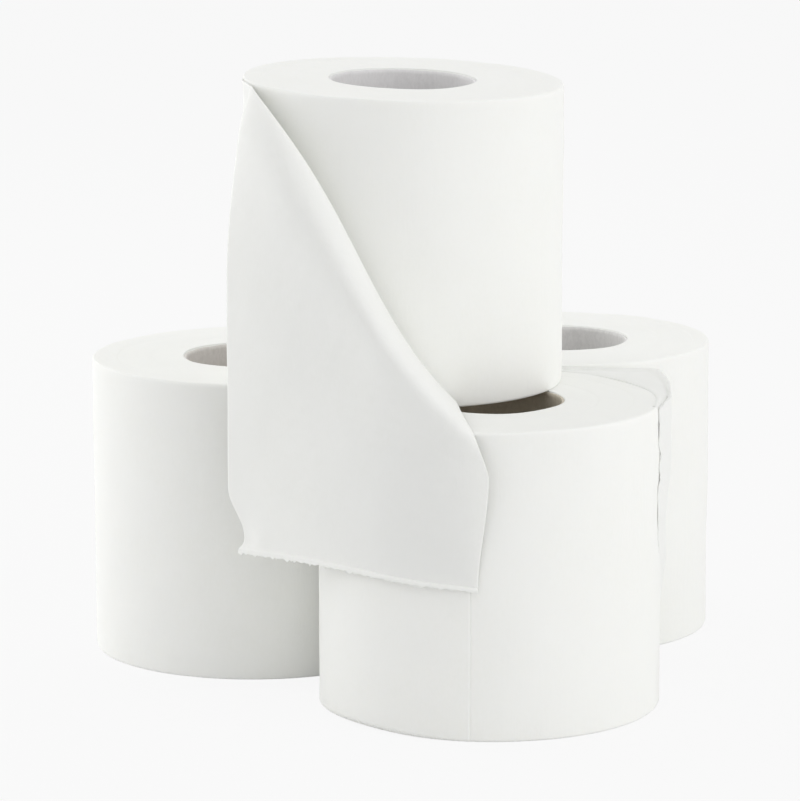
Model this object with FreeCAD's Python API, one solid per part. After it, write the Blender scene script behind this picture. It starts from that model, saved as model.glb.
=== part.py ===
"""Four toilet paper rolls standing on end: three on the ground and one on top of them.

The top roll's outer turn has come loose. It folds over a slanting line on the roll's
front and hangs down past the roll below, where it ends in a perforated edge.

Millimetres, +Z up, the viewer on the -Y side. The origin is on the ground, on the
axis of the front roll's core.
"""
import FreeCAD, Part

import math
import os

VEC = FreeCAD.Vector

# Rolls
ROLL_HEIGHT = 97.0          # width of the paper, so the height of a standing roll
FRONT_RADIUS = 54.2
LEFT_RADIUS = 53.4
BACK_RADIUS = 50.9
TOP_RADIUS = 51.2
EDGE_SOFT = 2.4             # the outer edge of a winding is worn down over this much
CORE_BORE_RADIUS = 22.7
CORE_WALL = 0.8
CORE_RECESS = 0.5           # the cardboard ends this far below the paper's upper end

# Places of the rolls, all worked out from the front one
LEFT_BEARING_DEG = 134.8    # direction from the front roll's axis to the left one's
FRONT_LEFT_GAP = 0.3
FRONT_BACK_GAP = 5.5
LEFT_BACK_GAP = 1.2
TOP_SHIFT_X = -27.4         # the top roll's axis from the front roll's
TOP_SHIFT_Y = 34.4
TOP_END_FALL_X = -0.026     # the top roll's upper end is cut slightly out of square
TOP_END_FALL_Y = 0.011

# Turns that stand back on an upper end, as distances from the core outwards
TURN_STEP_DEPTH = 0.4
TURN_BANDS = ((6.5, 4.0), (18.0, 3.6))

# Loose sheet of the top roll: its hang
SHEET_THICKNESS = 0.6
SHEET_CLEARANCE = 0.5
SHEET_HEM_HEIGHT = 48.0     # lower edge above the ground
SHEET_HEM_ARCH = 1.8        # the middle of the lower edge is this much higher
SHEET_RIGHT_DEG = 4.6       # its right edge on the front roll, from that roll's front
SHEET_LEAVE_DEG = 42.0      # where it leaves the front roll's side towards the left
SHEET_LEFT_TURN = 136.0     # height where the left edge has turned straight down
SHEET_RIGHT_TURN = 84.0     # height where the right edge has
SHEET_RIGHT_BULGE = 3.4     # the right side stands out over the front roll's rim
SHEET_BULGE_START = 0.35    # from this share of the width on
CORNER_CURL = 5.0           # the lower left corner curls in by this much
CORNER_SHARE = 0.16         # over this share of the width
CORNER_START = 0.72         # from this share of the hanging length on
CORNER_RUN = 0.2

# Loose sheet of the top roll: its fold
FOLD_ARC = (53.0, 10.5, 15.7, -17.0)   # fold line's distance round the roll, left of its front
FOLD_STAND_OFF = 3.0        # the crest of the fold stands this far off the roll
FOLD_REAR_DROP = 1.4        # the sheet comes up this much from the roll to the crest
FOLD_TOP_DROP = 0.9         # the fold starts this much under the roll's top
FOLD_FOOT_RISE = 2.2        # and ends this much over the roll's bottom
FOLD_LEFT_PULL = 0.56       # share of its way that the sheet leaves the crest level, at the left
FOLD_RIGHT_PULL = 0.98
FOLD_LEAST_LEAN = 0.35      # limits how far the root runs back where the fold lies flat
ROOT_DEPTH = 1.3            # how deep a loose sheet's root lies inside the winding

# Loose end of the front roll, on that roll's own plan
LOOSE_ROOT_DEG = 108.0      # direction where it comes out of the turns, at the back
LOOSE_LEAVE_DEG = 88.0      # where it leaves the roll
LOOSE_CORNER = (55.2, 52.5)
LOOSE_EDGE = (57.0, 3.0)    # its free edge, at the right
LOOSE_BEND = 5.0            # the corner is rounded from about this far on both sides
LOOSE_LIE_DEG = -6.0        # where the free edge lies on the roll lower down
LOOSE_FOOT = 24.0           # it lies down at this height
LOOSE_RISE = 26.0           # and stands off in full this much higher
LOOSE_SEAT = 0.25           # where it lies down, this much of it is bedded in the turns below
LOOSE_EDGE_INSET = 0.8      # its side edges stop this short of the roll's ends
LOOSE_DIP_HEIGHT = 58.0     # its free edge is pressed in round this height
LOOSE_DIP_SPREAD = 9.0
LOOSE_DIP = 0.55


def ease(value):
    """Smooth step from 0 to 1."""
    value = min(max(value, 0.0), 1.0)
    return value * value * (3.0 - 2.0 * value)


def mix(low, high, share):
    return low + (high - low) * share


def bezier(points, share):
    """A cubic through four plain values."""
    rest = 1.0 - share
    return (points[0] * rest ** 3 + 3.0 * points[1] * rest ** 2 * share
            + 3.0 * points[2] * rest * share ** 2 + points[3] * share ** 3)


def roll_centres():
    """Axes of the four rolls on their own ground, from radii and gaps."""
    front = VEC(0, 0, 0)
    bearing = math.radians(LEFT_BEARING_DEG)
    reach = FRONT_RADIUS + LEFT_RADIUS + FRONT_LEFT_GAP
    left = VEC(reach * math.cos(bearing), reach * math.sin(bearing), 0)
    from_front = FRONT_RADIUS + BACK_RADIUS + FRONT_BACK_GAP
    from_left = LEFT_RADIUS + BACK_RADIUS + LEFT_BACK_GAP
    along = (from_front ** 2 - from_left ** 2 + reach ** 2) / (2.0 * reach)
    across = math.sqrt(from_front ** 2 - along ** 2)
    unit = VEC(math.cos(bearing), math.sin(bearing), 0)
    back = unit * along + VEC(unit.y, -unit.x, 0) * across
    top = VEC(TOP_SHIFT_X, TOP_SHIFT_Y, ROLL_HEIGHT)
    return {"front": front, "left": left, "back": back, "top": top}


def end_cutter(radius, bands):
    """All that lies beyond a winding's end, turned from one outline.

    Each band of turns slopes down away from the core and steps up again. The outer
    edge falls away over two bevels.
    """
    core_outer = CORE_BORE_RADIUS + CORE_WALL
    belly = EDGE_SOFT * (1.0 - math.sqrt(0.5))
    spare = 2.0 * EDGE_SOFT
    bevel_slope = (EDGE_SOFT - belly) / belly
    outline = [VEC(0, 0, 0)]
    for start, width in bands:
        inner = core_outer + start
        outline.append(VEC(inner, 0, 0))
        outline.append(VEC(inner + width, 0, -TURN_STEP_DEPTH))
        outline.append(VEC(inner + width, 0, 0))
    outline.append(VEC(radius - EDGE_SOFT, 0, 0))
    outline.append(VEC(radius - belly, 0, -belly))
    outline.append(VEC(radius + spare, 0, -EDGE_SOFT - spare * bevel_slope))
    outline.append(VEC(radius + spare, 0, radius))
    outline.append(VEC(0, 0, radius))
    outline.append(VEC(0, 0, 0))
    face = Part.Face(Part.makePolygon(outline))
    return face.revolve(VEC(0, 0, 0), VEC(0, 0, 1), 360)


def end_placement(height, fall_x, fall_y):
    """Sets a cutter on an upper end, which may be out of square."""
    turn = FreeCAD.Rotation(VEC(0, 0, 1), VEC(-fall_x, -fall_y, 1.0))
    return FreeCAD.Placement(VEC(0, 0, height), turn)


def winding(radius, fall_x=0.0, fall_y=0.0):
    """One roll's paper: a bored cylinder with worn edges and turns that stand back."""
    spare = 0.2 * radius
    body = Part.makeCylinder(radius, ROLL_HEIGHT + spare)
    upper = end_cutter(radius, TURN_BANDS)
    upper.Placement = end_placement(ROLL_HEIGHT, fall_x, fall_y)
    lower = end_cutter(radius, ())
    lower.rotate(VEC(0, 0, 0), VEC(1, 0, 0), 180)
    bore = Part.makeCylinder(CORE_BORE_RADIUS + CORE_WALL, ROLL_HEIGHT + 3 * spare, VEC(0, 0, -spare))
    return body.cut(upper).cut(lower).cut(bore)


def core_tube(fall_x=0.0, fall_y=0.0):
    """The cardboard tube that a roll is wound on."""
    outer = CORE_BORE_RADIUS + CORE_WALL
    spare = 0.5 * outer
    tube = Part.makeCylinder(outer, ROLL_HEIGHT + spare)
    tube = tube.cut(Part.makeCylinder(CORE_BORE_RADIUS, ROLL_HEIGHT + 3 * spare, VEC(0, 0, -spare)))
    cutter = Part.makeCylinder(2 * outer, 2 * spare)
    cutter.Placement = end_placement(ROLL_HEIGHT - CORE_RECESS, fall_x, fall_y)
    return tube.cut(cutter)


def hang_plan(across):
    """Where the hanging sheet stands on the ground plan, by distance from its left edge.

    From the right edge it follows the front roll's side and then runs straight on.
    """
    reach = FRONT_RADIUS + SHEET_CLEARANCE
    leave = math.radians(SHEET_LEAVE_DEG)
    wrapped = reach * (leave - math.radians(SHEET_RIGHT_DEG))
    from_right = ROLL_HEIGHT - across
    if from_right <= wrapped:
        angle = math.radians(SHEET_RIGHT_DEG) + from_right / reach
        return VEC(-reach * math.sin(angle), -reach * math.cos(angle), 0)
    straight = from_right - wrapped
    x = -reach * math.sin(leave) - straight * math.cos(leave)
    y = -reach * math.cos(leave) + straight * math.sin(leave)
    return VEC(x, y, 0)


def fold_crest(across, centre):
    """Crest of the fold for one line along the sheet."""
    share = across / ROLL_HEIGHT
    angle = bezier(FOLD_ARC, share) / TOP_RADIUS
    out = TOP_RADIUS + FOLD_STAND_OFF
    height = mix(2.0 * ROLL_HEIGHT - FOLD_TOP_DROP, ROLL_HEIGHT + FOLD_FOOT_RISE, share)
    return VEC(centre.x - out * math.sin(angle), centre.y - out * math.cos(angle), height)


def hem_height(across):
    share = across / ROLL_HEIGHT
    return SHEET_HEM_HEIGHT + SHEET_HEM_ARCH * math.sin(math.pi * share)


def sheet_point(across, along, centre):
    """A point of the loose sheet's inner side.

    along runs from 0 at the root inside the winding, over the crest of the fold at 1
    and the turn downwards at 2, to the lower edge at 3.
    """
    share = across / ROLL_HEIGHT
    crest = fold_crest(across, centre)
    foot = hang_plan(across)
    bulge = SHEET_RIGHT_BULGE * ease((share - SHEET_BULGE_START) / (1.0 - SHEET_BULGE_START))
    away = VEC(foot.x, foot.y, 0).normalize()
    turn_plan = foot + away * bulge + VEC(bulge * share, 0, 0)
    turn_height = mix(SHEET_LEFT_TURN, SHEET_RIGHT_TURN, share)
    travel = VEC(turn_plan.x - crest.x, turn_plan.y - crest.y, 0)
    if along <= 1.0:
        outward = VEC(crest.x - centre.x, crest.y - centre.y, 0).normalize()
        heading = VEC(travel).normalize()
        lean = max(outward.dot(heading), FOLD_LEAST_LEAN)
        back = (FOLD_STAND_OFF + ROOT_DEPTH) / lean
        angle = along * math.pi / 2.0
        drop = FOLD_REAR_DROP * (1.0 - math.sin(angle))
        return crest - heading * (back * math.cos(angle)) - VEC(0, 0, drop)
    if along <= 2.0:
        step = along - 1.0
        pull = mix(FOLD_LEFT_PULL, FOLD_RIGHT_PULL, ease(share))
        run = bezier((0.0, pull, 1.0, 1.0), step)
        lower = bezier((0.0, 0.0, 1.0 - pull, 1.0), step)
        return crest + travel * run - VEC(0, 0, (crest.z - turn_height) * lower)
    step = along - 2.0
    height = mix(turn_height, hem_height(across), step)
    plan = turn_plan + (foot - turn_plan) * ease(step)
    corner = ease(1.0 - share / CORNER_SHARE) * ease((step - CORNER_START) / CORNER_RUN)
    curl = CORNER_CURL * corner
    return VEC(plan.x + curl, plan.y - curl / 2.0, height)


def sheet_solid(point, columns, rows):
    """Thickens the surface through point(column, row) to its outer side."""
    grid = []
    for column in range(columns + 1):
        grid.append([point(column, row) for row in range(rows + 1)])
    surface = Part.BSplineSurface()
    surface.interpolate(grid)
    by_intersection = 2
    return surface.toShape().makeOffsetShape(
        SHEET_THICKNESS, 0.01, False, False, 0, by_intersection, True)


def loose_sheet(centre):
    """The top roll's loose outer turn, from inside the winding to the lower edge."""
    columns = 12
    rows = 15

    def point(column, row):
        return sheet_point(ROLL_HEIGHT * (1.0 - column / columns), 3.0 * row / rows, centre)

    return sheet_solid(point, columns, rows)


def loose_plan(share, hold, radius):
    """Ground plan of the front roll's loose end.

    share runs from -1 at the root over 0, where the sheet leaves the roll, and 1 at the
    corner to 2 at the free edge. hold is 0 where it lies on the roll and 1 where it stands off.
    """
    leave = math.radians(LOOSE_LEAVE_DEG)
    seated = radius - LOOSE_SEAT
    if share <= 0.0:
        angle = mix(leave, math.radians(LOOSE_ROOT_DEG), -share)
        return VEC(math.cos(angle), math.sin(angle), 0) * (seated - ROOT_DEPTH * ease(-share))
    start = VEC(math.cos(leave), math.sin(leave), 0) * seated
    corner = VEC(LOOSE_CORNER[0], LOOSE_CORNER[1], 0)
    edge = VEC(LOOSE_EDGE[0], LOOSE_EDGE[1], 0)
    if share <= 1.0:
        loose = start + (corner - start) * share
    else:
        loose = corner + (edge - corner) * (share - 1.0)
    round_share = LOOSE_BEND / (corner - start).Length
    if abs(share - 1.0) < round_share:
        part = (share - 1.0 + round_share) / (2.0 * round_share)
        before = corner + (start - corner) * round_share
        after = corner + (edge - corner) * round_share
        loose = before * (1.0 - part) ** 2 + corner * (2.0 * part * (1.0 - part)) + after * part ** 2
    angle = mix(leave, math.radians(LOOSE_LIE_DEG), share / 2.0)
    lying = VEC(math.cos(angle), math.sin(angle), 0) * seated
    return lying + (loose - lying) * hold


def loose_end(radius):
    """The front roll's free end, which stands off its right side beyond a corner at the back."""
    columns = 21
    rows = 12
    low = LOOSE_EDGE_INSET
    high = ROLL_HEIGHT - LOOSE_EDGE_INSET

    def point(column, row):
        share = mix(2.0, -1.0, column / columns)
        height = mix(high, low, row / rows)
        dip = LOOSE_DIP * math.exp(-((height - LOOSE_DIP_HEIGHT) / LOOSE_DIP_SPREAD) ** 2)
        hold = ease((height - LOOSE_FOOT) / LOOSE_RISE) * (1.0 - dip * ease(share - 1.0))
        plan = loose_plan(share, hold, radius)
        return VEC(plan.x, plan.y, height)

    return sheet_solid(point, columns, rows)


def build():
    centres = roll_centres()
    radii = {"front": FRONT_RADIUS, "left": LEFT_RADIUS, "back": BACK_RADIUS, "top": TOP_RADIUS}
    nodes = {}
    for name, centre in centres.items():
        falls = (TOP_END_FALL_X, TOP_END_FALL_Y) if name == "top" else (0.0, 0.0)
        paper = winding(radii[name], *falls)
        core = core_tube(*falls)
        if name == "front":
            paper = paper.fuse(loose_end(radii[name]))
        paper.translate(centre)
        core.translate(centre)
        if name == "top":
            paper = paper.fuse(loose_sheet(centre))
        nodes[name + "_roll_paper"] = paper
        nodes[name + "_roll_core"] = core
    return nodes


os.makedirs("parts", exist_ok=True)
for node, shape in build().items():
    solids = shape.Solids
    print(node, "solids", len(solids), "valid", shape.isValid(), "volume", round(shape.Volume, 1))
    solids[0].exportStep("parts/" + node + ".step")
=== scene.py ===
"""Looks of four toilet paper rolls on end, the top one with its loose sheet folded over and hanging down.

Shapes are worked out in millimetres in the frame's own axes and turned into metres when a mesh is made.
"""
import math

import bpy
import numpy as np
from mathutils import Matrix, Vector

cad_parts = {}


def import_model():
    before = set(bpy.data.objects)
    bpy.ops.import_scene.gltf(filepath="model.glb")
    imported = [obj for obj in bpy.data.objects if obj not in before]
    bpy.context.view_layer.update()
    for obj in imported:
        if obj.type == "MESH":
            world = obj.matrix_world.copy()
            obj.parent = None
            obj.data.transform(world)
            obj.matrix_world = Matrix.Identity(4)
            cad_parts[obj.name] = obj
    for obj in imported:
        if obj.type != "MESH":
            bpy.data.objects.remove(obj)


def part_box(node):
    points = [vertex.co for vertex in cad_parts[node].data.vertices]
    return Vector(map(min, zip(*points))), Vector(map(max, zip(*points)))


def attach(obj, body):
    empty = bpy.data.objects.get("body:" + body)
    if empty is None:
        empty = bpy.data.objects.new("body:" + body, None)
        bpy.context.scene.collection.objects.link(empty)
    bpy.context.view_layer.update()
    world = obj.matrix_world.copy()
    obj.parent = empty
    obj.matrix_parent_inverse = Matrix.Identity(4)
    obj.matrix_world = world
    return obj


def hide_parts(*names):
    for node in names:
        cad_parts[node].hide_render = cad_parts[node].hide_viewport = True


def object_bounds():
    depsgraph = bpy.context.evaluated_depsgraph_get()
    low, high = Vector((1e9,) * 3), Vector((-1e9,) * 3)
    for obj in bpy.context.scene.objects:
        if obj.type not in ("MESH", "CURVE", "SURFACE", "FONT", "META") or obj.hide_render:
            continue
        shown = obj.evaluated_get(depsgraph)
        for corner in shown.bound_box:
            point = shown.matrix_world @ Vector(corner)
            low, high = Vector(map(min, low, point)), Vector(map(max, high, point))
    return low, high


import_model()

MM = 0.001
CAD_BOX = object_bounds()

# Rolls, as far as the frame's boxes do not give them
CORE_WALL = 0.8
CORE_RECESS = 0.5
TOP_END_FALL = (-0.026, 0.011)
RIM_UPPER = 1.1
RIM_LOWER = 0.9
TURN_STEP = 0.07
TURN_BANDS = ((6.5, 4.0), (18.0, 3.6))
TURN_BAND_FALL = 0.12
TURN_PITCH = 0.46
TURN_GROOVE = 0.03
SIDE_SOFTNESS = 0.28
END_SOFTNESS = 0.12
END_SOFT_ABOVE = 40.0
PIECE_GAP = 0.02
SEAM_DEG = -97.2
SEAM_GROOVE = 0.13
SEAM_GROOVE_DEG = 0.25
SEAM_PLY = 0.07
SEAM_PLY_DEG = 14.0
WORN_DEG = -138.0
WORN_SPREAD_DEG = 24.0
WORN_AMOUNT = 2.6
BOARD_CUT = 0.12
BOARD_LIP = 0.08
BOARD_SEAM_PITCH = 62.0
BOARD_SEAM_RIDGE = 0.12
BOARD_SEAM_GAP = 0.05
BOARD_SEAM_WIDTH = 0.02

# Hanging sheet
SHEET_THICKNESS = 0.3
SHEET_CLEARANCE = 0.7
SHEET_HEM_HEIGHT = 48.0
SHEET_HEM_ARCH = 1.8
SHEET_RIGHT_DEG = 4.6
SHEET_LEAVE_DEG = 42.0
SHEET_LEFT_TURN = 136.0
SHEET_RIGHT_TURN = 84.0
SHEET_RIGHT_BULGE = 3.4
SHEET_BULGE_START = 0.35
FOLD_OFFSET = (47.2, 14.5, 13.5, -16.6)
FOLD_STAND_OFF = 3.0
FOLD_BALLOON = 4.5
SHOULDER_NEAR = 4.0
RIDGE_OUT = 8.0
RIDGE_DROP = 18.0
RIDGE_END = 0.3
RIDGE_LEFT = 0.6
RIDGE_LEFT_RUN = 0.2
RIDGE_FADE = 0.6
FOLD_BALLOON_SKEW = 0.55
FOLD_TURN = 2.4
FOLD_TOP_DROP = -0.6
FOLD_FOOT_RISE = 2.2
FOLD_SIDE_PULL = 0.35
FOLD_LEFT_PULL = 0.56
FOLD_RIGHT_PULL = 0.98
ROOT_DEPTH = 1.3
ROOT_TURN_DEG = 14.0
ROOT_SHARE = 0.25
ON_ROLL = 0.25
CORNER_CURL = 5.0
CORNER_SHARE = 0.16
CORNER_START = 0.77
CORNER_RUN = 0.17
CORNER_FLARE = 1.8
CORNER_FLARE_START = 0.95
HEM_START = 2.96
HEM_RUN = 0.015
HEM_LIP = 0.6
HEM_LIP_START = 2.975
HEM_TOOTH = 1.1
HEM_TOOTH_START = 2.985
HEM_TOOTH_WIDTH = 2.1
WRINKLE_BROAD = 0.35
WRINKLE_CRUMPLE = 0.10
WRINKLE_FINE = 0.03

# Camera, in millimetres and radians, and the photograph's frame in pixels
CAMERA_PLACE = (-28.233, -1494.976, 388.84)
CAMERA_PITCH = 0.1931
FOCAL_PIXELS = 4846.5
PHOTO_WIDTH = 800
SENSOR = 36.0


def ease(value):
    value = np.clip(value, 0.0, 1.0)
    return value * value * (3.0 - 2.0 * value)


def mix(low, high, share):
    return low + (high - low) * share


def bezier(points, share):
    rest = 1.0 - share
    return (points[0] * rest ** 3 + 3.0 * points[1] * rest ** 2 * share
            + 3.0 * points[2] * rest * share ** 2 + points[3] * share ** 3)


def heading(angle):
    """Unit direction on the ground plan."""
    return np.array([math.cos(angle), math.sin(angle)])


def ripple(seed, size, count=9):
    """A soft random field over points in millimetres, mostly between -1 and 1.

    size is the waves' length, as one number or one for each wave.
    """
    draw = np.random.default_rng(seed)
    ways = draw.normal(size=(count, 3))
    ways /= np.linalg.norm(ways, axis=1)[:, None]
    ways *= (2.0 * math.pi / np.asarray(size) * draw.uniform(0.6, 1.5, count))[:, None]
    phases = draw.uniform(0.0, 2.0 * math.pi, count)

    def field(points):
        return np.sin(points @ ways.T + phases).sum(axis=-1) / math.sqrt(count)

    return field


def grid_normals(points):
    """Unit normals of a grid of points, from column direction times row direction."""
    down = np.gradient(points, axis=0)
    over = np.gradient(points, axis=1)
    normals = np.cross(down, over)
    return normals / np.maximum(np.linalg.norm(normals, axis=-1, keepdims=True), 1e-9)


def mesh_object(name, points, faces, material):
    mesh = bpy.data.meshes.new(name)
    mesh.from_pydata((points.reshape(-1, 3) * MM).tolist(), [], faces)
    mesh.polygons.foreach_set("use_smooth", [True] * len(mesh.polygons))
    mesh.materials.append(material)
    mesh.update()
    piece = bpy.data.objects.new(name, mesh)
    bpy.context.scene.collection.objects.link(piece)
    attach(piece, "root")
    return piece


def ring_faces(rows, columns):
    """Quads of a grid that closes on itself both ways."""
    faces = []
    for row in range(rows):
        below = (row + 1) % rows
        for column in range(columns):
            beside = (column + 1) % columns
            faces.append((row * columns + column, row * columns + beside,
                          below * columns + beside, below * columns + column))
    return faces


def sheet_object(name, inner, thickness, material):
    """A thin closed sheet from a grid of points: the inner side, the outer side and the edges between."""
    rows, columns = inner.shape[:2]
    outer = inner + grid_normals(inner) * thickness
    count = rows * columns
    faces = []
    for row in range(rows - 1):
        for column in range(columns - 1):
            first = row * columns + column
            quad = (first, first + 1, first + columns + 1, first + columns)
            faces.append(tuple(reversed(quad)))
            faces.append(tuple(count + corner for corner in quad))
    border = list(range(columns))
    border += [row * columns + columns - 1 for row in range(1, rows)]
    border += [(rows - 1) * columns + column for column in range(columns - 2, -1, -1)]
    border += [row * columns for row in range(rows - 2, 0, -1)]
    for here, there in zip(border, border[1:] + border[:1]):
        faces.append((here, there, count + there, count + here))
    return mesh_object(name, np.concatenate([inner.reshape(-1, 3), outer.reshape(-1, 3)]), faces, material)


class Roll:
    """Place and sizes of one roll in millimetres, read from the frame.

    radius_side is -1 or 1 for the side of the winding's box that only the round winding reaches.
    """

    def __init__(self, name, radius_side):
        self.name = name
        core_low, core_high = (np.array(corner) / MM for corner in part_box(name + "_roll_core"))
        paper_low, paper_high = (np.array(corner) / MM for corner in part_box(name + "_roll_paper"))
        self.centre = (core_low + core_high)[:2] / 2.0
        self.core_outer = (core_high - core_low)[0] / 2.0
        self.low = core_low[2]
        self.high = self.low + ROLL_HEIGHT
        if radius_side < 0:
            self.radius = self.centre[0] - paper_low[0]
        else:
            self.radius = paper_high[0] - self.centre[0]
        self.fall = TOP_END_FALL if name == "top" else (0.0, 0.0)


LEFT_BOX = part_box("left_roll_paper")
ROLL_HEIGHT = (LEFT_BOX[1][2] - LEFT_BOX[0][2]) / MM
RADIUS_SIDES = {"front": -1, "left": -1, "back": 1, "top": 1}
ROLLS = {name: Roll(name, side) for name, side in RADIUS_SIDES.items()}


# Materials, with the number of noise cells in a metre

PAPER_CLOUDS = 26.0
PAPER_FIBRES = 1400.0
PAPER_CREPE = 900.0
PAPER_EMBOSSING = 230.0
BOARD_CLOUDS = 60.0
BOARD_FLECKS = 1100.0


def node(tree, kind, **values):
    made = tree.nodes.new(kind)
    for name, value in values.items():
        if name in made.inputs:
            made.inputs[name].default_value = value
        else:
            setattr(made, name, value)
    return made


def noise(tree, coordinates, scale, detail, roughness, stretch=(1.0, 1.0, 1.0), shift=(0.0, 0.0, 0.0)):
    mapping = node(tree, "ShaderNodeMapping", Scale=stretch, Location=shift)
    tree.links.new(coordinates, mapping.inputs["Vector"])
    made = node(tree, "ShaderNodeTexNoise", Scale=scale, Detail=detail, Roughness=roughness)
    tree.links.new(mapping.outputs["Vector"], made.inputs["Vector"])
    return made.outputs["Fac"]


def ramp(tree, source, stops):
    """Colours along a value, from stops of place and colour."""
    made = node(tree, "ShaderNodeValToRGB")
    made.color_ramp.elements[0].position = stops[0][0]
    made.color_ramp.elements[0].color = stops[0][1]
    made.color_ramp.elements[1].position = stops[-1][0]
    made.color_ramp.elements[1].color = stops[-1][1]
    for place, colour in stops[1:-1]:
        made.color_ramp.elements.new(place).color = colour
    tree.links.new(source, made.inputs["Fac"])
    return made.outputs["Color"]


def bump(tree, height, strength, distance, normal=None):
    made = node(tree, "ShaderNodeBump", Strength=strength, Distance=distance)
    tree.links.new(height, made.inputs["Height"])
    if normal is not None:
        tree.links.new(normal, made.inputs["Normal"])
    return made.outputs["Normal"]


def blended(tree, first, second, share):
    made = node(tree, "ShaderNodeMix", data_type="FLOAT")
    made.inputs["Factor"].default_value = share
    tree.links.new(first, made.inputs["A"])
    tree.links.new(second, made.inputs["B"])
    return made.outputs["Result"]


def start_material(name):
    material = bpy.data.materials.new(name)
    material.use_nodes = True
    tree = material.node_tree
    tree.nodes.clear()
    output = node(tree, "ShaderNodeOutputMaterial")
    shader = node(tree, "ShaderNodeBsdfPrincipled")
    tree.links.new(shader.outputs["BSDF"], output.inputs["Surface"])
    coordinates = node(tree, "ShaderNodeTexCoord").outputs["Object"]
    return material, tree, shader, coordinates


def tissue(name, shift):
    """Soft white tissue: faint clouding, fibres, crepe along the roll's axis and light embossing."""
    material, tree, shader, coordinates = start_material(name)
    cloud = noise(tree, coordinates, PAPER_CLOUDS, 4.0, 0.6, shift=shift)
    fibre = noise(tree, coordinates, PAPER_FIBRES, 4.0, 0.7, stretch=(1.0, 1.0, 0.35))
    middle = mix(np.array(DEEP), np.array(PALE), 0.7)
    colour = ramp(tree, blended(tree, cloud, fibre, 0.45), ((0.32, DEEP), (0.5, middle), (0.68, PALE)))
    tree.links.new(colour, shader.inputs["Base Color"])
    rough = ramp(tree, fibre, ((0.3, (0.82, 0.82, 0.82, 1)), (0.7, (0.97, 0.97, 0.97, 1))))
    tree.links.new(rough, shader.inputs["Roughness"])
    crepe = noise(tree, coordinates, PAPER_CREPE, 2.0, 0.5, stretch=(1.0, 1.0, 0.06))
    emboss = noise(tree, coordinates, PAPER_EMBOSSING, 1.0, 0.4, shift=shift)
    normal = bump(tree, emboss, 0.35, 0.0002)
    normal = bump(tree, crepe, 0.25, 0.00012, normal)
    normal = bump(tree, fibre, 0.3, 0.0001, normal)
    tree.links.new(normal, shader.inputs["Normal"])
    shader.inputs["Specular IOR Level"].default_value = 0.15
    shader.inputs["Sheen Weight"].default_value = 0.05
    shader.inputs["Subsurface Weight"].default_value = GLOW_WEIGHT
    shader.inputs["Subsurface Radius"].default_value = (1.0, 0.98, 0.92)
    shader.inputs["Subsurface Scale"].default_value = GLOW_DEPTH
    return material


def cardboard(name, pale, deep):
    """Grey recycled board with flecks and fibres."""
    material, tree, shader, coordinates = start_material(name)
    cloud = noise(tree, coordinates, BOARD_CLOUDS, 4.0, 0.6)
    fleck = noise(tree, coordinates, BOARD_FLECKS, 3.0, 0.7, stretch=(1.0, 1.0, 0.5))
    middle = mix(np.array(deep), np.array(pale), 0.6)
    colour = ramp(tree, blended(tree, cloud, fleck, 0.5), ((0.34, deep), (0.5, middle), (0.64, pale)))
    tree.links.new(colour, shader.inputs["Base Color"])
    rough = ramp(tree, fleck, ((0.3, (0.75, 0.75, 0.75, 1)), (0.7, (0.95, 0.95, 0.95, 1))))
    tree.links.new(rough, shader.inputs["Roughness"])
    tree.links.new(bump(tree, fleck, 0.35, 0.00015), shader.inputs["Normal"])
    shader.inputs["Specular IOR Level"].default_value = 0.2
    return material


PALE = (0.940, 0.945, 0.915, 1.0)
DEEP = (0.915, 0.920, 0.885, 1.0)
GLOW_WEIGHT = 0.3
GLOW_DEPTH = 0.0012
TISSUE = {name: tissue("tissue_" + name, (0.3 * number, 0.1 * number, 0.7 * number))
          for number, name in enumerate(("front", "left", "back", "top", "sheet", "end"))}
# One board in a tint for each roll's core. The front core's brown hue is the board's own tint, but its
# darker values are painted shade standing in for the shadow under the top roll. The top core's lighter
# values are painted light, and the left and back cores lie between.
BOARD_TINTS_AND_PAINTED_LIGHT = {"front": ((0.72, 0.66, 0.56, 1.0), (0.58, 0.52, 0.43, 1.0)),
               "left": ((0.82, 0.79, 0.76, 1.0), (0.70, 0.67, 0.64, 1.0)),
               "back": ((0.83, 0.82, 0.81, 1.0), (0.71, 0.70, 0.69, 1.0)),
               "top": ((0.87, 0.86, 0.86, 1.0), (0.77, 0.76, 0.76, 1.0))}
BOARD = {name: cardboard("board_" + name, *tints) for name, tints in BOARD_TINTS_AND_PAINTED_LIGHT.items()}


# Windings

def winding_angles(finer, count=300):
    """Angles round a roll in radians, with close steps about the directions in finer."""
    angles = list(np.linspace(0.0, 2.0 * math.pi, count, endpoint=False))
    for degrees in finer:
        for offset in (-0.7, -0.35, -0.15, 0.0, 0.15, 0.35, 0.7):
            angles.append(math.radians(degrees + offset) % (2.0 * math.pi))
    return np.array(sorted(angles))


def turn_depth(distance, angle):
    """How far the turns at this distance from the core stand back."""
    depth = np.zeros_like(distance)
    for start, width in TURN_BANDS:
        within = (distance - start) / width
        rising = np.clip(within, 0.0, 1.0)
        falling = 1.0 - ease((within - 1.0) / TURN_BAND_FALL)
        depth = np.maximum(depth, TURN_STEP * rising * falling)
    spiral = distance / TURN_PITCH - angle / (2.0 * math.pi)
    return depth + TURN_GROOVE * (0.5 - 0.5 * np.cos(2.0 * math.pi * spiral))


def degrees_from(angles, place):
    """Degrees from a direction, between -180 and 180."""
    return (np.degrees(angles) - place + 180.0) % 360.0 - 180.0


def seam_press(angles):
    """The front roll's seam: a fine groove, and a ply that fades out beside it."""
    away = degrees_from(angles, SEAM_DEG)
    groove = SEAM_GROOVE * np.exp(-(away / SEAM_GROOVE_DEG) ** 2)
    ply = SEAM_PLY * (1.0 - ease(away / 0.5 + 0.5)) * np.exp(-(np.maximum(-away, 0.0) / SEAM_PLY_DEG) ** 2)
    return ply - groove


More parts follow.
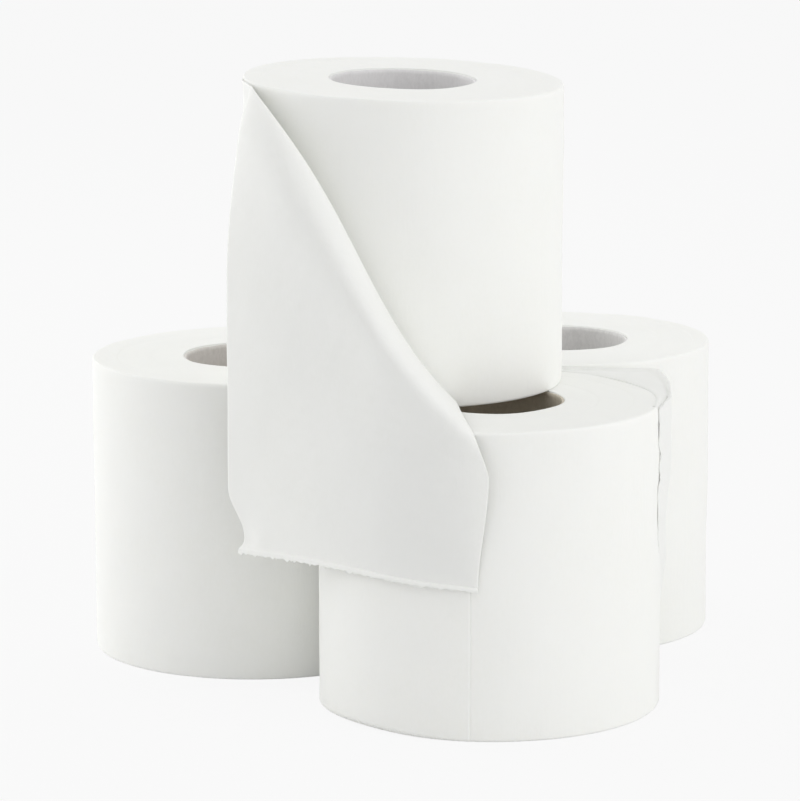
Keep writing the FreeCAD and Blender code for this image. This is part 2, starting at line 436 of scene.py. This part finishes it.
def winding_rows(roll, angles, foot, lip):
    """Rings of a winding as radius, height and how much of the outer side's dents they take.

    foot and lip are the lower and upper rim's radii at each angle.
    """
    inner = roll.core_outer + PIECE_GAP
    outer = roll.radius
    end_share = np.cos(angles) * roll.fall[0] + np.sin(angles) * roll.fall[1]
    rows = []
    # Lower end and lower rim
    for share in np.linspace(0.0, 1.0, 26, endpoint=False):
        radius = mix(inner, outer - foot, share)
        rows.append((radius, roll.low + turn_depth(radius - inner, -angles), 0.0))
    for turn in np.linspace(0.0, math.pi / 2, 7, endpoint=False):
        radius = outer - foot * (1.0 - math.sin(turn))
        rows.append((radius, roll.low + foot * (1.0 - math.cos(turn)), math.sin(turn)))
    # Outer side
    top = roll.high + end_share * outer - lip
    for share in np.linspace(0.0, 1.0, 40, endpoint=False):
        rows.append((np.full_like(angles, outer), mix(roll.low + foot, top, share), 1.0))
    # Upper rim and upper end
    for turn in np.linspace(0.0, math.pi / 2, 8, endpoint=False):
        radius = outer - lip * (1.0 - math.cos(turn))
        rows.append((radius, roll.high + end_share * radius - lip * (1.0 - math.sin(turn)), math.cos(turn)))
    for share in np.linspace(0.0, 1.0, 118):
        radius = mix(outer - lip, inner, share)
        rows.append((radius, roll.high + end_share * radius - turn_depth(radius - inner, angles), 0.0))
    # Inside, against the core
    for share in np.linspace(0.06, 0.94, 5):
        height = np.full_like(angles, mix(roll.high, roll.low, share))
        rows.append((np.full_like(angles, inner), height, 0.0))
    return rows


def winding(roll, seed, marked):
    """One roll's paper: a lathe form with soft rims, a spiral of turns on its ends and slight dents.

    marked is True for the roll with a seam in its side and a worn lower rim.
    """
    angles = winding_angles([SEAM_DEG] if marked else [])
    foot = np.full_like(angles, RIM_LOWER)
    if marked:
        foot = foot + WORN_AMOUNT * np.exp(-(degrees_from(angles, WORN_DEG) / WORN_SPREAD_DEG) ** 2)
    lip = RIM_UPPER * (1.0 + 0.25 * np.sin(3.0 * angles + seed) + 0.15 * np.sin(7.0 * angles + 2.0 * seed))
    direction = np.stack([np.cos(angles), np.sin(angles), np.zeros_like(angles)], axis=-1)
    rows = winding_rows(roll, angles, foot, lip)
    radii = np.array([entry[0] for entry in rows])
    heights = np.array([entry[1] for entry in rows])
    sides = np.array([entry[2] for entry in rows])[:, None]
    points = direction[None] * radii[..., None]
    points[..., 2] = heights
    soft = ripple(seed, (70.0, 70.0, 50.0) * 3)
    dents = ripple(seed + 50, 24.0)
    press = SIDE_SOFTNESS * (0.7 * soft(points) + 0.3 * dents(points) - 0.9)
    if marked:
        press = press + seam_press(angles)[None]
    points += direction[None] * (press * sides)[..., None]
    upper = heights > roll.low + END_SOFT_ABOVE
    points[..., 2] += (1.0 - sides) * END_SOFTNESS * ripple(seed + 90, 30.0)(points) * upper
    points[..., :2] += roll.centre
    faces = ring_faces(len(rows), len(angles))
    piece = mesh_object(roll.name + "_winding", points, faces, TISSUE[roll.name])
    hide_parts(roll.name + "_roll_paper")
    return piece


def core(roll, seed):
    """The cardboard tube, with its spiral ply seams and a slightly rough cut."""
    count = 180
    angles = np.linspace(0.0, 2.0 * math.pi, count, endpoint=False)
    direction = np.stack([np.cos(angles), np.sin(angles), np.zeros_like(angles)], axis=-1)
    outer = roll.core_outer
    inner = outer - CORE_WALL
    end_share = np.cos(angles) * roll.fall[0] + np.sin(angles) * roll.fall[1]
    draw = np.random.default_rng(seed)
    rough = np.convolve(draw.normal(0.0, 1.0, count), np.ones(5) / 5.0, mode="same") * BOARD_CUT
    top = roll.high - CORE_RECESS + end_share * outer + rough
    rows = []
    for share in np.linspace(0.0, 1.0, 90):
        rows.append((inner, mix(roll.low, top, share), True))
    rows.append((mix(inner, outer, 0.3), top + BOARD_LIP, False))
    rows.append((mix(inner, outer, 0.7), top + BOARD_LIP, False))
    for share in np.linspace(1.0, 0.0, 6):
        rows.append((outer - PIECE_GAP, mix(roll.low, top, share), False))
    rows.append((mix(outer, inner, 0.5), np.full_like(angles, roll.low), False))
    points = np.zeros((len(rows), count, 3))
    for number, (radius, height, inside) in enumerate(rows):
        reach = np.full_like(angles, radius)
        if inside:
            seam = (height / BOARD_SEAM_PITCH + angles / (2.0 * math.pi)) % 1.0
            ridge = BOARD_SEAM_RIDGE * np.exp(-((seam - 0.5) / BOARD_SEAM_WIDTH) ** 2)
            gap = BOARD_SEAM_GAP * ease(np.abs(seam - 0.5) / (2.0 * BOARD_SEAM_WIDTH))
            reach = radius + ridge - gap
        points[number] = direction * reach[:, None]
        points[number, :, 2] = height
    points[..., :2] += roll.centre
    faces = [tuple(reversed(face)) for face in ring_faces(len(rows), count)]
    piece = mesh_object(roll.name + "_core", points, faces, BOARD[roll.name])
    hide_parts(roll.name + "_roll_core")
    return piece


# Hanging sheet

def level_direction(point):
    """Unit direction on the ground plan from the front roll's axis to a point."""
    return np.array([point[0], point[1], 0.0]) / math.hypot(point[0], point[1])


def hang_plan(across):
    """Where the hanging sheet stands on the ground plan, by distance from its left edge."""
    reach = ROLLS["front"].radius + SHEET_CLEARANCE
    leave = math.radians(SHEET_LEAVE_DEG)
    wrapped = reach * (leave - math.radians(SHEET_RIGHT_DEG))
    from_right = ROLL_HEIGHT - across
    if from_right <= wrapped:
        angle = math.radians(SHEET_RIGHT_DEG) + from_right / reach
        return np.array([-reach * math.sin(angle), -reach * math.cos(angle), 0.0])
    straight = from_right - wrapped
    return np.array([-reach * math.sin(leave) - straight * math.cos(leave),
                     -reach * math.cos(leave) + straight * math.sin(leave), 0.0])


def fold_crest(share):
    """A point of the fold's outermost line, from its upper left end at 0 to its lower right end at 1."""
    top = ROLLS["top"]
    offset = bezier(FOLD_OFFSET, share)
    out = top.radius + FOLD_STAND_OFF + FOLD_BALLOON * math.sin(math.pi * share ** FOLD_BALLOON_SKEW)
    height = mix(2.0 * ROLL_HEIGHT - FOLD_TOP_DROP, ROLL_HEIGHT + FOLD_FOOT_RISE, share)
    return np.array([top.centre[0] - offset, top.centre[1] - math.sqrt(out ** 2 - offset ** 2), height])


def rear_plan(crest, along):
    """Ground plan of the sheet's way from inside the winding, off the roll's left side, to the crest."""
    top = ROLLS["top"]
    spoke = crest[:2] - top.centre
    on_roll = top.radius + ON_ROLL
    leave = math.atan2(spoke[1], spoke[0]) - math.acos(on_roll / np.linalg.norm(spoke))
    if along < ROOT_SHARE:
        inside = 1.0 - along / ROOT_SHARE
        angle = leave - math.radians(ROOT_TURN_DEG) * inside
        return top.centre + heading(angle) * (on_roll - ROOT_DEPTH * ease(inside))
    start = top.centre + heading(leave) * on_roll
    length = np.linalg.norm(crest[:2] - start)
    ahead = start + heading(leave + math.pi / 2.0) * (length / 2.0)
    bend = crest[:2] + np.array([0.0, min(FOLD_TURN, length / 3.0)])
    return bezier((start, ahead, bend, crest[:2]), (along - ROOT_SHARE) / (1.0 - ROOT_SHARE))


def fold_point(share, step, crest, turn_plan, turn_height, bulge):
    """A point of the sheet's rounded way from the crest, at step 0, down to the turn, at step 1."""
    pull = mix(FOLD_LEFT_PULL, FOLD_RIGHT_PULL, ease(share))
    lower = bezier((0.0, 0.0, 1.0 - pull, 1.0), step)
    travel = turn_plan[:2] - crest[:2]
    fade = 1.0 - ease(share)
    before = crest[:2] + travel * np.array([FOLD_SIDE_PULL, pull]) * (1.0 - fade)
    before[1] -= SHOULDER_NEAR * fade
    after = turn_plan[:2] - np.array([1.3 * bulge * share, 0.0])
    plan = bezier((crest[:2], before, after, turn_plan[:2]), step)
    drop = (crest[2] - turn_height) * lower
    rise = math.sin(math.pi / 2.0 * min(drop / RIDGE_DROP, 1.0) ** 0.8)
    ridge = RIDGE_OUT * rise * mix(RIDGE_LEFT, 1.0, ease(share / RIDGE_LEFT_RUN))
    ridge *= 1.0 - ease((share - RIDGE_FADE) / (1.0 - RIDGE_FADE))
    ridge *= 1.0 - ease((step - RIDGE_END) / (1.0 - RIDGE_END))
    return np.array([plan[0], plan[1] - ridge, mix(crest[2], turn_height, lower)])


def sheet_point(share, along):
    """A point of the sheet, by its share of the width from the left edge.

    along runs from 0 at the root over the crest at 1 and the turn at 2 to the hem at 3.
    """
    crest = fold_crest(share)
    if along <= 1.0:
        plan = rear_plan(crest, along)
        return np.array([plan[0], plan[1], crest[2]])
    foot = hang_plan(share * ROLL_HEIGHT)
    bulge = SHEET_RIGHT_BULGE * ease((share - SHEET_BULGE_START) / (1.0 - SHEET_BULGE_START))
    turn_plan = foot + level_direction(foot) * bulge + np.array([bulge * share, 0.0, 0.0])
    turn_height = mix(SHEET_LEFT_TURN, SHEET_RIGHT_TURN, share)
    if along <= 2.0:
        return fold_point(share, along - 1.0, crest, turn_plan, turn_height, bulge)
    step = along - 2.0
    hem = SHEET_HEM_HEIGHT + SHEET_HEM_ARCH * math.sin(math.pi * share)
    height = mix(turn_height, hem, step)
    plan = turn_plan + (foot - turn_plan) * ease(step)
    curl = CORNER_CURL * ease((step - CORNER_START) / CORNER_RUN)
    curl -= CORNER_FLARE * ease((step - CORNER_FLARE_START) / (1.0 - CORNER_FLARE_START))
    curl *= ease(1.0 - share / CORNER_SHARE)
    return np.array([plan[0] + curl, plan[1] - curl / 2.0, height])


def hanging_sheet():
    """The top roll's loose outer turn, with soft wrinkles and a perforated lower edge."""
    shares = np.linspace(1.0, 0.0, 190)
    rows = np.concatenate([np.linspace(0.0, 1.0, 40, endpoint=False),
                           np.linspace(1.0, 2.0, 84, endpoint=False),
                           np.linspace(2.0, HEM_START, 62, endpoint=False),
                           np.linspace(HEM_START, 3.0, 14)])
    inner = np.array([[sheet_point(share, along) for along in rows] for share in shares])
    normals = grid_normals(inner)
    away = ease((rows - 0.9) / 0.5)[None, :]
    broad = ripple(11, 60.0)(inner)
    crumple = ripple(12, 17.0)(inner * np.array([1.0, 1.0, 0.6]))
    fine = ripple(13, 5.0)(inner)
    swell = away * (WRINKLE_BROAD * (broad - 0.2) + WRINKLE_CRUMPLE * crumple + WRINKLE_FINE * fine)
    inner = inner + normals * swell[..., None]
    hem = ease((rows - HEM_LIP_START) / HEM_RUN)[None, :]
    inner += normals * (HEM_LIP * hem)[..., None]
    # Small uneven teeth along the torn edge
    across = shares * ROLL_HEIGHT
    tooth = np.abs(((across / HEM_TOOTH_WIDTH + 0.3 * np.sin(across * 0.9)) % 1.0) - 0.5) * 2.0
    uneven = 0.35 + 0.65 * np.abs(np.sin(across * 0.37 + 1.0) * np.sin(across * 0.93))
    torn = HEM_TOOTH * tooth * uneven
    inner[..., 2] -= torn[:, None] * ease((rows - HEM_TOOTH_START) / HEM_RUN)[None, :]
    piece = sheet_object("hanging_sheet", inner, SHEET_THICKNESS, TISSUE["sheet"])
    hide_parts("top_roll_paper")
    return piece


# Loose end of the front roll

LOOSE_ROOT_DEG = 108.0
LOOSE_LEAVE_DEG = 88.0
LOOSE_CORNER = (55.2, 52.5)
LOOSE_SIDE = (57.5, 14.0)
LOOSE_SIDE_BOW = (58.0, 34.0)
LOOSE_BELLY = (57.5, 4.0)
LOOSE_TIP_RUN = 13.0
LOOSE_BELLY_SHARE = 1.6
LOOSE_BEND = 3.0
LOOSE_LIE_DEG = -14.0
LOOSE_TOP_GAP = 0.1
LOOSE_FOOT_GAP = 0.4
LOOSE_FOOT = 34.0
LOOSE_RISE = 26.0
LOOSE_DIP_HEIGHT = 58.0
LOOSE_DIP_SPREAD = 9.0
LOOSE_DIP = 0.55
LOOSE_RAGGED = ((0.024, 0.21, 0.7), (0.01, 0.83, 0.0), (0.005, 2.9, 0.0))
LOOSE_SINK = 0.7
LID_SHARES = (1.0, 0.96, 0.92, 0.86, 0.76, 0.64, 0.5, 0.38, 0.26, 0.18, 0.12, 0.07, 0.03)
LID_DIP = 1.0
LID_RISE = 1.15
LID_SINK = 0.3
LID_LAP = 2.0
LOOSE_WRINKLE = 0.3
LOOSE_CRUMPLE = 0.1


def loose_plan(share, hold):
    """Ground plan of the loose end.

    share is -1 at the root, 0 where it leaves the roll, 1 at the corner and 2 at its edge, which comes back
    to the roll. hold is 0 where it lies on the roll and 1 where it stands off.
    """
    leave = math.radians(LOOSE_LEAVE_DEG)
    reach = ROLLS["front"].radius
    if share <= 0.0:
        angle = mix(leave, math.radians(LOOSE_ROOT_DEG), -share)
        return heading(angle) * (reach - ROOT_DEPTH * ease(-share))
    start = heading(leave) * reach
    corner = np.array(LOOSE_CORNER)
    side = np.array(LOOSE_SIDE)
    bow = np.array(LOOSE_SIDE_BOW)
    lie = math.radians(LOOSE_LIE_DEG)
    if share <= 1.0:
        loose = start + (corner - start) * share
    elif share <= LOOSE_BELLY_SHARE:
        loose = bezier((corner, bow, bow, side), (share - 1.0) / (LOOSE_BELLY_SHARE - 1.0))
    else:
        part = min((share - LOOSE_BELLY_SHARE) / (2.0 - LOOSE_BELLY_SHARE), 1.0)
        tip = heading(lie) * reach
        ahead = tip + heading(lie + math.pi / 2.0) * LOOSE_TIP_RUN
        loose = bezier((side, np.array(LOOSE_BELLY), ahead, tip), part)
    round_share = LOOSE_BEND / np.linalg.norm(corner - start)
    if abs(share - 1.0) < round_share:
        part = (share - 1.0 + round_share) / (2.0 * round_share)
        before = corner + (start - corner) * round_share
        after = bezier((corner, bow, bow, side), round_share / (LOOSE_BELLY_SHARE - 1.0))
        loose = before * (1.0 - part) ** 2 + corner * (2.0 * part * (1.0 - part)) + after * part ** 2
    lying = heading(mix(leave, lie, share / 2.0)) * (reach - LOOSE_SINK * ease((share - 1.5) / 0.5))
    return lying + (loose - lying) * hold


def turned_in(edge):
    """Rows of points that turn the loose end's upper edge in over the gap, down to the front roll's rim."""
    share = np.array(LID_SHARES)
    spoke = np.linalg.norm(edge[..., :2], axis=-1, keepdims=True)
    rim = edge[..., :2] / spoke * (np.minimum(spoke, ROLLS["front"].radius) - LID_LAP)
    rows = np.zeros((len(edge), len(share), 3))
    rows[..., :2] = edge[..., :2] + (rim - edge[..., :2]) * share[None, :, None]
    rows[..., 2] = edge[..., 2] - LID_DIP * ease(share / 0.15) + LID_RISE * ease(share / 0.9)
    rows[..., 2] -= LID_SINK * ease((share - 0.9) / 0.1)
    return rows


def loose_end():
    """The front roll's free end: it leaves the roll at the back and turns a corner at the right side."""
    shares = np.concatenate([np.linspace(-1.0, 0.9, 90, endpoint=False),
                             np.linspace(0.9, 1.1, 24, endpoint=False),
                             np.linspace(1.1, 2.0, 56)])
    heights = np.linspace(ROLL_HEIGHT - LOOSE_TOP_GAP, LOOSE_FOOT_GAP, 120)
    points = np.zeros((len(shares), len(heights), 3))
    for column, height in enumerate(heights):
        dip = LOOSE_DIP * math.exp(-((height - LOOSE_DIP_HEIGHT) / LOOSE_DIP_SPREAD) ** 2)
        stand = ease((height - LOOSE_FOOT) / LOOSE_RISE)
        ragged = sum(size * math.sin(height * pace + start) for size, pace, start in LOOSE_RAGGED)
        for row, share in enumerate(shares):
            hold = stand * (1.0 - dip * ease(share - 1.0))
            plan = loose_plan(share + ragged * ease(share - 1.0), hold)
            points[row, column] = (plan[0], plan[1], height)
    points = np.concatenate([turned_in(points[:, :1]), points], axis=1)
    normals = grid_normals(points)
    heights = np.concatenate([np.full(len(LID_SHARES), heights[0]), heights])
    away = ease(shares / 0.4)[:, None] * ease((heights - 10.0) / 30.0)[None, :]
    away[:, :len(LID_SHARES)] *= 1.0 - np.array(LID_SHARES)
    broad = ripple(21, 26.0)(points)
    crumple = ripple(22, 9.0)(points)
    points += normals * (away * (LOOSE_WRINKLE * broad + LOOSE_CRUMPLE * crumple))[..., None]
    piece = sheet_object("loose_end", points, SHEET_THICKNESS, TISSUE["end"])
    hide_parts("front_roll_paper")
    return piece


# Room, light and camera

def emission_for_camera(tree, surface, output, colour, share):
    """The camera sees this much of a plain colour in place of the lit surface."""
    light = node(tree, "ShaderNodeLightPath")
    glow = node(tree, "ShaderNodeEmission", Color=colour, Strength=1.0)
    amount = node(tree, "ShaderNodeMath", operation="MULTIPLY")
    tree.links.new(light.outputs["Is Camera Ray"], amount.inputs[0])
    amount.inputs[1].default_value = share
    blend = node(tree, "ShaderNodeMixShader")
    tree.links.new(amount.outputs[0], blend.inputs["Fac"])
    tree.links.new(surface, blend.inputs[1])
    tree.links.new(glow.outputs[0], blend.inputs[2])
    tree.links.new(blend.outputs[0], output.inputs["Surface"])


BACKGROUND = (0.957, 0.957, 0.957, 1.0)
FLOOR_PAINT = (0.88, 0.88, 0.88, 1.0)
FLOOR_SEEN_PLAIN = 0.93
FLOOR_REACH = 4.0
FLOOR_DROP = 0.0001


def floor():
    mesh = bpy.data.meshes.new("floor")
    corners = [(x * FLOOR_REACH, y * FLOOR_REACH, 0.0) for x, y in ((-1, -1), (1, -1), (1, 1), (-1, 1))]
    mesh.from_pydata(corners, [], [(0, 1, 2, 3)])
    material = bpy.data.materials.new("floor")
    material.use_nodes = True
    tree = material.node_tree
    tree.nodes.clear()
    output = node(tree, "ShaderNodeOutputMaterial")
    paint = node(tree, "ShaderNodeBsdfDiffuse", Color=FLOOR_PAINT)
    emission_for_camera(tree, paint.outputs[0], output, BACKGROUND, FLOOR_SEEN_PLAIN)
    mesh.materials.append(material)
    piece = bpy.data.objects.new("floor", mesh)
    piece.location.z = CAD_BOX[0][2] - FLOOR_DROP
    bpy.context.scene.collection.objects.link(piece)


def world():
    made = bpy.data.worlds.new("room")
    made.use_nodes = True
    tree = made.node_tree
    tree.nodes.clear()
    output = node(tree, "ShaderNodeOutputWorld")
    room = node(tree, "ShaderNodeBackground", Color=(1.0, 1.0, 1.0, 1.0), Strength=WORLD_LIGHT)
    seen = node(tree, "ShaderNodeBackground", Color=BACKGROUND, Strength=1.0)
    light = node(tree, "ShaderNodeLightPath")
    blend = node(tree, "ShaderNodeMixShader")
    tree.links.new(light.outputs["Is Camera Ray"], blend.inputs["Fac"])
    tree.links.new(room.outputs[0], blend.inputs[1])
    tree.links.new(seen.outputs[0], blend.inputs[2])
    tree.links.new(blend.outputs[0], output.inputs["Surface"])
    bpy.context.scene.world = made


def softbox(name, place, aim, size, power):
    data = bpy.data.lights.new(name, "AREA")
    data.shape = "RECTANGLE"
    data.size, data.size_y = size
    data.energy = power
    lamp = bpy.data.objects.new(name, data)
    lamp.location = place
    lamp.rotation_mode = "QUATERNION"
    lamp.rotation_quaternion = (Vector(aim) - Vector(place)).to_track_quat("-Z", "Y")
    bpy.context.scene.collection.objects.link(lamp)


def camera():
    data = bpy.data.cameras.new("photo_camera")
    data.sensor_fit = "HORIZONTAL"
    data.sensor_width = SENSOR
    data.lens = FOCAL_PIXELS * SENSOR / PHOTO_WIDTH
    data.clip_start = 0.05
    data.clip_end = 20.0
    made = bpy.data.objects.new("photo_camera", data)
    made.matrix_world = Matrix.Translation(Vector(CAMERA_PLACE) * MM) @ Matrix.Rotation(
        math.pi / 2.0 - CAMERA_PITCH, 4, "X")
    bpy.context.scene.collection.objects.link(made)
    bpy.context.scene.camera = made


WORLD_LIGHT = 0.745
MIDDLE = (-0.02, 0.03, 0.09)
LAMPS = {"light_left": ((-0.9, 0.5, 0.35), (1.0, 0.7), 3.7),
         "light_right": ((0.9, -0.45, 0.35), (1.0, 0.7), 2.6),
         "light_top": ((-0.02, 0.1, 1.1), (1.2, 1.2), 1.3)}

for number, (name, roll) in enumerate(ROLLS.items()):
    winding(roll, 3 + 4 * number, name == "front")
    core(roll, 31 + number)
hanging_sheet()
loose_end()

floor()
world()
for name, (place, size, power) in LAMPS.items():
    softbox(name, place, MIDDLE, size, power)
camera()
bpy.context.scene.view_settings.view_transform = "Standard"
